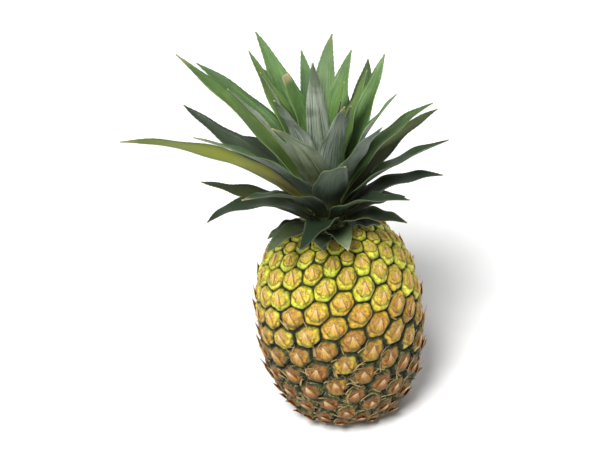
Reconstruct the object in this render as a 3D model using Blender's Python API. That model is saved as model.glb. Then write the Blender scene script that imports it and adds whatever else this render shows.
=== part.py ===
"""Pineapple: a barrel-shaped fruit of spiral eyes on a flat base, its cut stalk, and a crown of leaves.

Metres, +Z up. The origin is on the fruit's axis, in the plane that its flat base ring stands on, and
the front is -Y. The fruit is one solid, and so are the cut stalk, the crown's short stem and each leaf.
"""

import math
import random

import bmesh
import bpy
from mathutils import Matrix, Vector
from mathutils.geometry import delaunay_2d_cdt

# Driving dimensions of the fruit. A fullness of 2 is an ellipse, and more is squarer
FRUIT_HEIGHT = 0.160
BELLY_RADIUS = 0.0595
BELLY_HEIGHT = 0.078
BASE_RADIUS = 0.030
NECK_RADIUS = 0.0175
BASE_FULLNESS = 2.15
SHOULDER_FULLNESS = 2.5

# The flat ring that the fruit stands on, the hollow inside it and the cut stalk in that hollow
RING_INNER_RADIUS = 0.0205
HOLLOW_DEPTH = 0.005
HOLLOW_TOP_RADIUS = 0.0165
STALK_RADIUS = 0.0125
STALK_BEVEL = 0.0008

# The eyes: their spacing at the belly, how much smaller they are at the ends, and their relief
GOLDEN_ANGLE = math.pi * (3 - math.sqrt(5))
EYE_PITCH = 0.0198
EYE_END_SHARE = 0.28
EYE_GROOVE = 0.0016
EYE_RELIEF = 0.0024
EYE_SLOPE = 0.0032
EYE_DOME = 0.0011
EYE_POINT = 0.0006
EYE_FLAT_HEIGHT = 0.004
EYE_FULL_HEIGHT = 0.012

# The crown's stem, a blunt cone that the leaves grow from
STEM_HEIGHT = 0.044
STEM_FOOT_RADIUS = 0.0148
STEM_TOP_RADIUS = 0.0045
STEM_SIDES = 24

# The leaves, in order up the stem
LEAF_COUNT = 50
LEAF_FIRST_AZIMUTH = math.radians(250)
LEAF_FIRST_HEIGHT = 0.0030
LEAF_LAST_MARGIN = 0.0035
LEAF_LONGEST = 0.124
LEAF_WIDEST = 0.0140
LEAF_THICKNESS = 0.0016
LEAF_STATIONS = 10
LEAF_TIP_HALF_WIDTH = 0.0007
LEAF_CHANNEL = 0.22
LEAF_MOST_CHANNEL = 0.65
LEAF_WRAPPED_RANK = 0.68
CROWN_LONG_SIDE = math.radians(185)
CROWN_LONG_SHARE = 0.12

# Leaves that grew unlike their neighbours, by number: (share of length, share of width, extra lean in
# degrees), and the one whose tip is gone, with the share of its blade that's left
ODD_LEAVES = {24: (1.2, 1.0, 3), 32: (1.12, 1.0, 0), 47: (1.42, 1.12, 1.8)}
CUT_LEAF = 48
CUT_LEAF_LEFT = 0.8
LEAF_SEED = 11

# Gap between pieces that touch
SEAT_GAP = 0.0003

CURVE_STEPS = 400


def clear_scene():
    """Removes the objects that a new file starts with."""
    for thing in list(bpy.data.objects):
        bpy.data.objects.remove(thing, do_unlink=True)


def material(name, colour, roughness):
    """A plain Principled material in the part's colour."""
    made = bpy.data.materials.new(name)
    made.use_nodes = True
    shader = made.node_tree.nodes["Principled BSDF"]
    shader.inputs["Base Color"].default_value = (*colour, 1)
    shader.inputs["Roughness"].default_value = roughness
    shader.inputs["Metallic"].default_value = 0
    return made


def add_object(name, bm, finish):
    """Turns a bmesh into a named object with a material."""
    mesh = bpy.data.meshes.new(name)
    bm.to_mesh(mesh)
    bm.free()
    mesh.materials.append(finish)
    made = bpy.data.objects.new(name, mesh)
    bpy.context.scene.collection.objects.link(made)
    return made


def mix(a, b, share):
    return a + (b - a) * share


def smooth_step(low, high, value):
    share = min(1, max(0, (value - low) / (high - low)))
    return share * share * (3 - 2 * share)


class FruitProfile:
    """The fruit's outline, read by its conformal latitude.

    The latitude grows by distance over radius, so a shape drawn on it and on the azimuth keeps its
    angles on the fruit.
    """

    def __init__(self):
        self.points = [self.at_turn(i / CURVE_STEPS) for i in range(CURVE_STEPS + 1)]
        self.latitudes = [0.0]
        for low, high in zip(self.points, self.points[1:]):
            step = math.dist(low, high) / ((low[0] + high[0]) / 2)
            self.latitudes.append(self.latitudes[-1] + step)
        self.top = self.latitudes[-1]

    def at_turn(self, share):
        """(radius, height) as a point runs from the base's edge up to the neck."""
        if share < 0.5:
            cut, fullness, rise = BASE_RADIUS, BASE_FULLNESS, -BELLY_HEIGHT
        else:
            cut, fullness, rise = NECK_RADIUS, SHOULDER_FULLNESS, FRUIT_HEIGHT - BELLY_HEIGHT
        last = math.acos((cut / BELLY_RADIUS) ** (fullness / 2))
        angle = last * abs(2 * share - 1)
        radius = BELLY_RADIUS * math.cos(angle) ** (2 / fullness)
        along = (math.sin(angle) / math.sin(last)) ** (2 / fullness)
        return radius, BELLY_HEIGHT + rise * along

    def at(self, latitude):
        """(radius, height) at a latitude, held between the two ends."""
        if latitude <= 0:
            return self.points[0]
        if latitude >= self.top:
            return self.points[-1]
        low, high = 0, CURVE_STEPS
        while high - low > 1:
            middle = (low + high) // 2
            if self.latitudes[middle] <= latitude:
                low = middle
            else:
                high = middle
        span = self.latitudes[high] - self.latitudes[low]
        share = (latitude - self.latitudes[low]) / span
        first, second = self.points[low], self.points[high]
        return mix(first[0], second[0], share), mix(first[1], second[1], share)

    def place(self, azimuth, latitude):
        radius, height = self.at(latitude)
        return Vector((radius * math.cos(azimuth), radius * math.sin(azimuth), height))


def eye_centres(profile):
    """(azimuth, latitude) of each eye, one golden angle after another up the fruit.

    The rows run past both ends, so that the eyes at the edges have neighbours.
    """
    margin = 0.6
    centres = []
    latitude = -margin
    while latitude < profile.top + margin:
        radius, _ = profile.at(latitude)
        pitch = EYE_PITCH * mix(EYE_END_SHARE, 1, radius / BELLY_RADIUS)
        azimuth = (len(centres) * GOLDEN_ANGLE) % (2 * math.pi)
        centres.append((azimuth, latitude))
        cell_area = pitch * pitch * math.sqrt(3) / 2
        latitude += cell_area / (2 * math.pi * radius * radius)
    return centres


class Corner:
    """A point of an eye's outline: where it is, and which eyes share it, so that it's made only once."""

    def __init__(self, shared, azimuth, latitude):
        self.shared = shared
        self.azimuth = azimuth
        self.latitude = latitude

    def towards(self, other, latitude):
        """The point at a latitude on the line from this corner to another."""
        share = (latitude - self.latitude) / (other.latitude - self.latitude)
        return Corner((self.shared, other.shared), mix(self.azimuth, other.azimuth, share), latitude)


def eye_cells(centres):
    """The outline of each eye as its corners, each the middle of three neighbouring eyes."""
    count = len(centres)
    around = [(a + turn, b) for turn in (-2 * math.pi, 0, 2 * math.pi) for a, b in centres]
    _, _, triangles, _, _, _ = delaunay_2d_cdt([Vector(p) for p in around], [], [], 0, 1e-9)
    corners = {}
    for triangle in triangles:
        azimuth = sum(around[i][0] for i in triangle) / 3
        latitude = sum(around[i][1] for i in triangle) / 3
        corner = Corner(tuple(sorted(i % count for i in triangle)), azimuth, latitude)
        for i in triangle:
            corners.setdefault(i, []).append(corner)
    cells = []
    for i in range(count, 2 * count):
        azimuth, latitude = around[i]
        turned = sorted(
            corners[i], key=lambda c: math.atan2(c.latitude - latitude, c.azimuth - azimuth)
        )
        cells.append(turned)
    return cells


def cut_cell(cell, limit, above):
    """The part of an outline above a latitude, or below it."""
    kept = []
    for here, after in zip(cell, cell[1:] + cell[:1]):
        here_kept = (here.latitude > limit) == above
        if here_kept:
            kept.append(here)
        if here_kept != ((after.latitude > limit) == above):
            first, second = sorted((here, after), key=lambda c: c.shared)
            kept.append(first.towards(second, limit))
    return kept


def skin_of_eyes(bm, profile):
    """The fruit's skin from the base's edge to the neck, one face for each eye. Returns the whole eyes."""
    corner_verts = {}
    whole = []
    for cell in eye_cells(eye_centres(profile)):
        kept = cut_cell(cut_cell(cell, 0, True), profile.top, False)
        if len(kept) < 3:
            continue
        for corner in kept:
            if corner.shared not in corner_verts:
                spot = profile.place(corner.azimuth, corner.latitude)
                corner_verts[corner.shared] = bm.verts.new(spot)
        face = bm.faces.new([corner_verts[corner.shared] for corner in kept])
        if all(0 < corner.latitude < profile.top for corner in cell):
            whole.append(face)
    return whole


def rim(bm, height):
    """The open edges at one height."""
    return [e for e in bm.edges if e.is_boundary and all(abs(v.co.z - height) < 1e-6 for v in e.verts)]


def step_inwards(bm, edges, radius, height):
    """Extrudes a round rim to a new radius and height. Returns the new rim."""
    made = bmesh.ops.extrude_edge_only(bm, edges=edges)["geom"]
    for vert in (g for g in made if isinstance(g, bmesh.types.BMVert)):
        flat = Vector((vert.co.x, vert.co.y)).normalized() * radius
        vert.co = (flat.x, flat.y, height)
    return [g for g in made if isinstance(g, bmesh.types.BMEdge) and g.is_boundary]


def raise_eye(bm, eye):
    """Raises one eye to a low dome with a point, less so near the base, where the fruit stands."""
    share = smooth_step(EYE_FLAT_HEIGHT, EYE_FULL_HEIGHT, eye.calc_center_median().z)
    steps = ((EYE_GROOVE, EYE_RELIEF), (EYE_SLOPE, EYE_DOME))
    for inset, rise in steps:
        bmesh.ops.inset_individual(bm, faces=[eye], thickness=inset, depth=rise * share)
    normal = eye.normal.copy()
    centre = bmesh.ops.poke(bm, faces=[eye], center_mode="MEAN_WEIGHTED")["verts"][0]
    centre.co += normal * EYE_POINT * share


def make_fruit(profile, finish):
    """The whole fruit: raised eyes, a flat ring and a hollow below, and a flat neck above."""
    bm = bmesh.new()
    eyes = skin_of_eyes(bm, profile)
    neck = rim(bm, FRUIT_HEIGHT)
    base = rim(bm, 0)
    bmesh.ops.edgenet_fill(bm, edges=neck)
    ring = step_inwards(bm, base, RING_INNER_RADIUS, 0)
    hollow = step_inwards(bm, ring, HOLLOW_TOP_RADIUS, HOLLOW_DEPTH)
    bmesh.ops.edgenet_fill(bm, edges=hollow)
    bmesh.ops.recalc_face_normals(bm, faces=bm.faces)
    for eye in eyes:
        raise_eye(bm, eye)
    return add_object("fruit", bm, finish)


def make_cut_stalk(finish):
    """The end of the stalk that the fruit was cut from, in the hollow of the base."""
    height = HOLLOW_DEPTH - SEAT_GAP
    bm = bmesh.new()
    middle = Matrix.Translation((0, 0, height / 2))
    bmesh.ops.create_cone(
        bm,
        cap_ends=True,
        segments=STEM_SIDES,
        radius1=STALK_RADIUS,
        radius2=STALK_RADIUS,
        depth=height,
        matrix=middle,
    )
    bottom = [e for e in bm.edges if all(v.co.z < height / 2 for v in e.verts)]
    bmesh.ops.bevel(bm, geom=bottom, offset=STALK_BEVEL, segments=1, affect="EDGES")
    return add_object("cut_stalk", bm, finish)


def stem_radius(height):
    """The stem's radius at a height above its foot."""
    return mix(STEM_FOOT_RADIUS, STEM_TOP_RADIUS, height / STEM_HEIGHT)


def make_crown_stem(finish):
    """The short cone inside the crown that every leaf grows from."""
    bm = bmesh.new()
    middle = Matrix.Translation((0, 0, FRUIT_HEIGHT + SEAT_GAP + STEM_HEIGHT / 2))
    bmesh.ops.create_cone(
        bm,
        cap_ends=True,
        segments=STEM_SIDES,
        radius1=STEM_FOOT_RADIUS,
        radius2=STEM_TOP_RADIUS,
        depth=STEM_HEIGHT,
        matrix=middle,
    )
    return add_object("crown_stem", bm, finish)


class LeafForm:
    """One leaf's sizes and lean, from its rank: 0 at the foot of the crown, 1 at its heart."""

    def __init__(self, number):
        self.rank = number / (LEAF_COUNT - 1)
        self.azimuth = LEAF_FIRST_AZIMUTH - number * GOLDEN_ANGLE
        chance = random.Random(LEAF_SEED + number)
        rise = STEM_HEIGHT - LEAF_FIRST_HEIGHT - LEAF_LAST_MARGIN
        self.foot_height = LEAF_FIRST_HEIGHT + rise * self.rank**1.15
        grown = smooth_step(-0.1, 0.5, self.rank)
        young = smooth_step(0.6, 1.2, self.rank)
        self.length = LEAF_LONGEST * mix(0.12, 1, grown) * mix(1, 0.5, young)
        self.length *= 1 + CROWN_LONG_SHARE * math.cos(self.azimuth - CROWN_LONG_SIDE)
        self.length *= chance.uniform(0.97, 1.03)
        self.half_width = LEAF_WIDEST * mix(0.62, 1, grown) * mix(1, 0.5, young)
        length_share, width_share, extra_lean = ODD_LEAVES.get(number, (1, 1, 0))
        self.left = CUT_LEAF_LEFT if number == CUT_LEAF else 1
        self.length *= length_share
        self.half_width *= width_share
        lean = mix(88, 10, self.rank) + extra_lean
        bend = mix(26, 5, self.rank)
        self.foot_lean = math.radians(lean - bend)
        self.tip_lean = math.radians(lean + bend + chance.uniform(-4, 4))
        self.sway = chance.uniform(-0.05, 0.05)

    def foot_half_width(self):
        """How wide the leaf is where it leaves the stem: a share of the stem's own radius there."""
        return min(self.half_width * 0.62, stem_radius(self.foot_height) * mix(0.65, 0.5, self.rank))

    def half_width_at(self, share):
        body = mix(self.foot_half_width(), self.half_width, smooth_step(0, 0.3, share))
        taper = (1 - (share * self.left) ** 2.1) ** 0.9
        return max(LEAF_TIP_HALF_WIDTH, body * taper)

    def midrib(self):
        """(distance from the axis, height over the stem's foot, lean) at each station."""
        radius = stem_radius(self.foot_height) + SEAT_GAP
        height = self.foot_height
        fine = 20
        step = self.length / (fine * (LEAF_STATIONS - 1))
        stations = []
        for i in range(fine * (LEAF_STATIONS - 1) + 1):
            share = i / (fine * (LEAF_STATIONS - 1))
            lean = mix(self.foot_lean, self.tip_lean, share**0.9)
            if i % fine == 0:
                stations.append((share, radius, height, lean))
            radius += math.sin(lean) * step
            height += math.cos(lean) * step
        return stations


def make_leaf(number, finish):
    """A channelled, pointed blade, thickened by Solidify. One that wraps the heart has more spans."""
    form = LeafForm(number)
    spans = (-1, -0.5, 0, 0.5, 1) if form.rank > LEAF_WRAPPED_RANK else (-1, 0, 1)
    bm = bmesh.new()
    rows = []
    thickness = []
    for share, radius, height, lean in form.midrib():
        half = form.half_width_at(share)
        wrapped = half * math.cos(lean) / (2 * radius)
        channel = min(LEAF_MOST_CHANNEL, max(LEAF_CHANNEL * smooth_step(0, 0.3, share), wrapped))
        azimuth = form.azimuth + form.sway * share * share * 4
        out = Vector((math.cos(azimuth), math.sin(azimuth), 0))
        side = Vector((-math.sin(azimuth), math.cos(azimuth), 0))
        inner_face = Vector((0, 0, math.sin(lean))) - out * math.cos(lean)
        spot = out * radius + Vector((0, 0, FRUIT_HEIGHT + SEAT_GAP + height))
        row = []
        for across in spans:
            place = spot + side * (half * across) + inner_face * (half * channel * across**2)
            row.append(bm.verts.new(place))
            thickness.append(mix(1, 0.45, share) * mix(1, 0.45, abs(across)))
        rows.append(row)
    for low, high in zip(rows, rows[1:]):
        for i in range(len(low) - 1):
            bm.faces.new((low[i], low[i + 1], high[i + 1], high[i]))
    made = add_object(f"leaf_{number + 1:02d}", bm, finish)
    group = made.vertex_groups.new(name="thickness")
    for index, weight in enumerate(thickness):
        group.add([index], weight, "REPLACE")
    thick = made.modifiers.new("thickness", "SOLIDIFY")
    thick.thickness = LEAF_THICKNESS
    thick.offset = 1
    thick.vertex_group = group.name
    return made


def main():
    clear_scene()
    skin = material("pineapple_skin", (0.42, 0.27, 0.05), 0.55)
    stalk = material("cut_stalk", (0.50, 0.40, 0.22), 0.85)
    stem = material("crown_stem", (0.45, 0.52, 0.25), 0.6)
    leaf = material("crown_leaf", (0.13, 0.21, 0.11), 0.5)
    make_fruit(FruitProfile(), skin)
    make_cut_stalk(stalk)
    make_crown_stem(stem)
    for number in range(LEAF_COUNT):
        make_leaf(number, leaf)


main()
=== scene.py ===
"""Looks for the pineapple: its eyes and dry bract tips, the leaves of its crown, and the stage.

Laid out as a Blender add-on and run as a script. The fruit and each leaf follow the same rules as
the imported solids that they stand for.
"""

import bisect
import math
import random

import bmesh
import bpy
from bpy.props import FloatProperty, FloatVectorProperty, IntProperty, PointerProperty
from mathutils import Matrix, Quaternion, Vector
from mathutils.geometry import delaunay_2d_cdt


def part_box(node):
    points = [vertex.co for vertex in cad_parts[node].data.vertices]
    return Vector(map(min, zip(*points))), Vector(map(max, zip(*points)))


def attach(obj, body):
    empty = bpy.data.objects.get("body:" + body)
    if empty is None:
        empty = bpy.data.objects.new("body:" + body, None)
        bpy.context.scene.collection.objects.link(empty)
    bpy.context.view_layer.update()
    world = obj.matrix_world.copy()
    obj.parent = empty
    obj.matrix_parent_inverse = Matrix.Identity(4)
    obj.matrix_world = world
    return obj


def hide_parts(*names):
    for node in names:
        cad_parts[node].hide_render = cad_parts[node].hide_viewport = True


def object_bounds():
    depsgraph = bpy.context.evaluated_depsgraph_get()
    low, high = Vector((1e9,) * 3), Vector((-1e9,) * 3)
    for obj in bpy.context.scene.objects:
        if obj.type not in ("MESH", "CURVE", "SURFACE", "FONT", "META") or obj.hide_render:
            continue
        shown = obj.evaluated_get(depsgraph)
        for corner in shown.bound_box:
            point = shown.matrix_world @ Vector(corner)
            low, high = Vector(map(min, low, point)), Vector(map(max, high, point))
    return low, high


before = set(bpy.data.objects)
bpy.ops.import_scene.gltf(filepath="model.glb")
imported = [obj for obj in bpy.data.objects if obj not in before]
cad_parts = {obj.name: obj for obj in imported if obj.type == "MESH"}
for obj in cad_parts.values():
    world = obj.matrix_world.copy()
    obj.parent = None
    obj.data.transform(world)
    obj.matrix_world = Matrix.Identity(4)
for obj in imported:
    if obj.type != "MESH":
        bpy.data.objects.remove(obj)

bl_info = {
    "name": "Pineapple",
    "version": (1, 0, 0),
    "blender": (4, 5, 0),
    "location": "View3D > Sidebar > Pineapple",
    "description": "Builds a pineapple's skin, bracts, stalk and crown",
    "category": "Object",
}

CAD_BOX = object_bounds()
GOLDEN_ANGLE = math.pi * (3 - math.sqrt(5))
CURVE_STEPS = 400
# Gap between pieces that touch, and how far the floor lies under the base so that the two don't mix
SEAT_GAP = 0.0003
FLOOR_DROP = 0.0003
# Eyes are flat at the first height and full at the second, so that the fruit stands on its ring
EYE_FLAT_HEIGHT, EYE_FULL_HEIGHT = 0.004, 0.012
# Between these heights the eyes sink to a share of their relief, to clear the lowest leaves
NECK_FADE_LOW, NECK_FADE_HIGH, NECK_LIFT = 0.135, 0.157, 0.55
# How square an eye's outline is, and how much of its height is a round dome
FAN_POWER = 3.2
DOME_SHARE = 0.4
# Bracts grow on eyes below this height that stand out by at least this share
BRACT_TOP, BRACT_LEAST_LIFT = 0.150, 0.3
# Thickness of a bract and of a sliver, and how far each stands off the skin
BRACT_THICKNESS, SLIVER_THICKNESS = 0.00025, 0.0002
BRACT_RISE, SLIVER_RISE = 0.0006, 0.0004
# The share of a bract that hugs its eye, how far it dips evenly and at its foot, and its keel
HUG_SHARE, HUG_DIP, FOOT_DIP, KEEL = 0.58, 0.0013, 0.0052, 0.26
# How far a sliver bows, and how far the tips of both stray
SLIVER_BOW, TIP_STRAY = 0.0022, 0.0045
# Height of the point in the middle of an eye
EYE_POINT = 0.0006
# The cut stalk's face: its middle, its hollow, the height of its torn fibres and of its worn edge
STALK_MIDDLE, STALK_HOLLOW, STALK_FIBRE, STALK_WEAR = 0.0006, 0.0005, 0.00035, 0.0009
STEM_LOW, STEM_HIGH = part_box("crown_stem")
STALK_LOW, STALK_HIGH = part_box("cut_stalk")


def length(name, description, default):
    return FloatProperty(name=name, description=description, default=default, unit="LENGTH")


def share(name, description, default):
    return FloatProperty(name=name, description=description, default=default)


def whole(name, description, default, **limits):
    return IntProperty(name=name, description=description, default=default, **limits)


def angle(name, description, default):
    return FloatProperty(
        name=name, description=description, default=math.radians(default), unit="ROTATION"
    )


def colour(name, description, default):
    return FloatVectorProperty(
        name=name, description=description, default=default, subtype="COLOR", size=3, min=0, max=1
    )


class FruitSettings(bpy.types.PropertyGroup):
    """Sizes and colours of the fruit, its bracts and its stalk."""

    height: length("Height", "From the base's plane to the neck", STEM_LOW.z - SEAT_GAP)
    belly_radius: length("Belly radius", "Radius in the grooves at the widest place", 0.0595)
    belly_height: length("Belly height", "Height of the widest place", 0.078)
    base_radius: length("Base radius", "Outer radius of the flat ring it stands on", 0.030)
    neck_radius: length("Neck radius", "Radius of the flat under the crown", 0.0175)
    base_fullness: share("Base fullness", "2 is an ellipse, more is squarer", 2.15)
    shoulder_fullness: share("Shoulder fullness", "2 is an ellipse, more is squarer", 2.5)
    ring_inner: length("Ring inner radius", "Inner radius of the flat ring", 0.0205)
    hollow_depth: length("Hollow depth", "Depth of the hollow round the stalk", 0.005)
    hollow_top: length("Hollow top radius", "Radius at the hollow's top", 0.0165)
    pitch: length("Eye pitch", "Distance between eyes at the belly", 0.0198)
    end_share: share("End share", "How small the eyes get towards the ends", 0.28)
    relief: length("Eye relief", "How far an eye stands out of its grooves", 0.0044)
    shoulder: share("Eye shoulder", "How sharply an eye drops into its groove", 7.0)
    scar: length("Scar depth", "Depth of the flat disc in an eye", 0.0007)
    rim: length("Disc rim", "Height of the rim round the disc", 0.0005)
    grain: length("Grain", "Height of the skin's small bumps", 0.00045)
    bract_length: length("Bract length", "Length of a bract, foot to tip", 0.0172)
    bract_width: length("Bract width", "Width of a bract near its foot", 0.0150)
    bract_curl: share("Bract curl", "How far a tip lifts off the skin", 0.115)
    sliver_length: length("Sliver length", "Length of a thin dry sliver", 0.0125)
    sliver_width: length("Sliver width", "Width of a thin dry sliver", 0.0013)
    levels: whole("Levels", "Subdivisions of each eye", 3, min=1, max=4)
    # The grooves' near black is their own dark green together with painted shade in them
    groove: colour("Groove", "Dark green of the grooves", (0.013, 0.018, 0.005))
    groove_pale: colour("Groove's dry bits", "Dry bits in the grooves", (0.055, 0.070, 0.014))
    skin_top: colour("Skin above", "Lime of the upper eyes", (0.80, 0.80, 0.055))
    skin_middle: colour("Skin at the belly", "Yellow of the middle eyes", (0.74, 0.45, 0.026))
    skin_base: colour("Skin below", "Orange-brown of the lower eyes", (0.29, 0.100, 0.014))
    disc_top: colour("Disc above", "Tan of the upper discs", (0.84, 0.54, 0.06))
    disc_base: colour("Disc below", "Red-brown of the lower discs", (0.45, 0.145, 0.018))
    scar_pale: colour("Dry centre", "Pale dry tissue", (0.86, 0.60, 0.27))
    cork: colour("Cork", "Dry skin of the base", (0.30, 0.19, 0.09))
    stalk: colour("Cut stalk", "Straw colour of the cut end", (0.52, 0.40, 0.21))


class CrownSettings(bpy.types.PropertyGroup):
    """Sizes and colours of the crown."""

    count: whole("Leaves", "Leaves in the crown", 50, min=1)
    seed: whole("Seed", "Seed of the small differences", 11)
    stem_foot: length("Stem foot radius", "Radius of the stem's foot", 0.0148)
    stem_top: length("Stem top radius", "Radius of the stem's top", 0.0045)
    stem_height: length("Stem height", "Height of the stem", STEM_HIGH.z - STEM_LOW.z)
    first_height: length("First leaf", "Height of the lowest leaf's foot", 0.0030)
    last_margin: length("Last leaf", "Stem left above the last leaf's foot", 0.0035)
    first_azimuth: angle("First azimuth", "Direction of the lowest leaf", 250)
    longest: length("Longest leaf", "Length of the longest leaf", 0.124)
    widest: length("Half width", "Half width of the widest leaf", 0.0140)
    thickness: length("Thickness", "Thickness at a leaf's foot", 0.0016)
    tip_half: length("Tip half width", "Half width at the tip", 0.0007)
    channel: share("Channel", "How hollow a leaf is across", 0.22)
    most_channel: share("Most channel", "The most that a leaf wraps the heart", 0.65)
    long_side: angle("Long side", "Side that grew longer", 185)
    long_share: share("Long share", "How much longer that side is", 0.12)
    cut_left: share("Cut leaf", "Share of the broken leaf that's left", 0.8)
    wave: length("Edge wave", "How far the edges wave", 0.0011)
    tooth: length("Tooth", "Height of the small teeth near the tips", 0.0005)
    rows: whole("Rows", "Rows of faces along a leaf", 84, min=4)
    spans: whole("Spans", "Faces across a leaf", 8, min=2)
    outer: colour("Outer face", "Grey-green of the outer face", (0.085, 0.125, 0.078))
    # Darker outer face of the lower leaves: their own dark green deepened by painted shade
    outer_low_dark_and_shade: colour("Lower outer face", "Dark outer face low in the crown", (0.040, 0.055, 0.038))
    # The lowest leaves' dark green, made nearly black by painted shade
    low_leaf_dark_and_shade: colour("Old leaf", "Near black green of the lowest leaves", (0.016, 0.029, 0.016))
    bloom: colour("Bloom", "Pale wax on the outer face", (0.54, 0.61, 0.53))
    inner: colour("Inner face", "Green of the inner face", (0.075, 0.165, 0.038))
    young: colour("Young leaf", "Brighter green towards the heart", (0.12, 0.24, 0.055))
    yellow: colour("Yellow leaf", "Yellow-green of an ageing leaf", (0.40, 0.42, 0.05))
    collar: colour("Collar tips", "Pale tips of the lowest small leaves", (0.25, 0.31, 0.17))
    foot: colour("Leaf foot", "Pale foot of a leaf", (0.42, 0.47, 0.20))
    dry: colour("Dry tip", "Straw colour of dry tips", (0.46, 0.38, 0.20))


class StageSettings(bpy.types.PropertyGroup):
    """The floor, the lights and the camera."""

    floor_size: length("Floor", "Width of the floor", 60.0)
    floor: colour("Floor colour", "Near white", (0.86, 0.86, 0.86))
    elevation: angle("Elevation", "Camera's height over the horizon", 32)
    roll: angle("Roll", "Camera's turn about its own axis", 7)
    distance: length("Distance", "Camera to object", 1.57)
    lens: share("Lens", "Focal length in millimetres", 127.0)
    sky: share("Sky", "Strength of the even light from all round", 0.30)
    key: share("Key", "Strength of the main light", 4.2)
    key_softness: angle("Key softness", "How wide the main light looks", 22)
    key_azimuth: angle("Key azimuth", "Turn of the main light, 0 from the front", -22)
    key_elevation: angle("Key elevation", "Height of the main light", 54)
    target: FloatVectorProperty(
        name="Target",
        description="Where the camera looks",
        default=(-0.022, 0, 0.165),
        subtype="XYZ",
    )


def mix(a, b, portion):
    return a + (b - a) * portion


def smooth_step(low, high, value):
    portion = min(1, max(0, (value - low) / (high - low)))
    return portion * portion * (3 - 2 * portion)


# Node trees


class Graph:
    """Adds nodes to a tree. A value is a socket to link or a plain default."""

    def __init__(self, tree):
        self.tree = tree
        self.nodes = tree.nodes

    def feed(self, socket, value):
        if isinstance(value, bpy.types.NodeSocket):
            self.tree.links.new(value, socket)
        elif value is not None:
            socket.default_value = value

    def add(self, kind, *values, named=None, **settings):
        node = self.nodes.new(kind)
        for key, value in settings.items():
            setattr(node, key, value)
        for key, value in enumerate(values):
            self.feed(node.inputs[key], value)
        for key, value in (named or {}).items():
            self.feed(node.inputs[key], value)
        return node

    def math(self, operation, *values):
        return self.add("ShaderNodeMath", *values, operation=operation).outputs[0]

    def plus(self, value, *others):
        for other in others:
            value = self.math("ADD", value, other)
        return value

    def less(self, a, b):
        return self.math("SUBTRACT", a, b)

    def times(self, value, *others):
        for other in others:
            value = self.math("MULTIPLY", value, other)
        return value

    def vary(self, value, *noises):
        """A value moved up and down by each noise, by at most half the amount beside it."""
        for noise, amount in noises:
            value = self.plus(value, self.times(self.less(noise, 0.5), amount))
        return value

    def vector(self, operation, *values):
        node = self.add("ShaderNodeVectorMath", operation=operation)
        sockets = [node.inputs[3]] if operation == "SCALE" else [node.inputs[1], node.inputs[2]]
        for socket, value in zip([node.inputs[0], *sockets], values):
            self.feed(socket, value)
        single = operation == "LENGTH"
        return node.outputs["Value" if single else "Vector"]

    def xyz(self, vector):
        return self.add("ShaderNodeSeparateXYZ", vector).outputs

    def combine(self, x=0, y=0, z=0):
        return self.add("ShaderNodeCombineXYZ", x, y, z).outputs[0]

    def ramp(self, value, low, high, first=0, last=1):
        """A smooth step from first to last as value goes from low to high."""
        node = self.add("ShaderNodeMapRange", interpolation_type="SMOOTHSTEP")
        for socket, number in zip(node.inputs, (value, low, high, first, last)):
            self.feed(socket, number)
        return node.outputs[0]

    def blend(self, factor, a, b):
        """Colour a at factor 0 and colour b at 1."""
        node = self.add("ShaderNodeMix", data_type="RGBA")
        for index, value in ((0, factor), (6, a), (7, b)):
            self.feed(node.inputs[index], self.opaque(value))
        return node.outputs[2]

    def opaque(self, value):
        if isinstance(value, (int, float, bpy.types.NodeSocket)):
            return value
        return (*value[:3], 1)

    def noise(self, vector, scale, detail=3, roughness=0.55, distortion=0):
        """A noise from 0 to 1."""
        named = {
            "Vector": vector,
            "Scale": scale,
            "Detail": detail,
            "Roughness": roughness,
            "Distortion": distortion,
        }
        return self.add("ShaderNodeTexNoise", named=named).outputs[0]

    def wander(self, vector, scale, detail):
        """A noise vector, from -0.5 to 0.5 each way."""
        named = {"Vector": vector, "Scale": scale, "Detail": detail}
        noise = self.add("ShaderNodeTexNoise", named=named).outputs[1]
        return self.vector("SUBTRACT", noise, (0.5, 0.5, 0.5))


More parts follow.
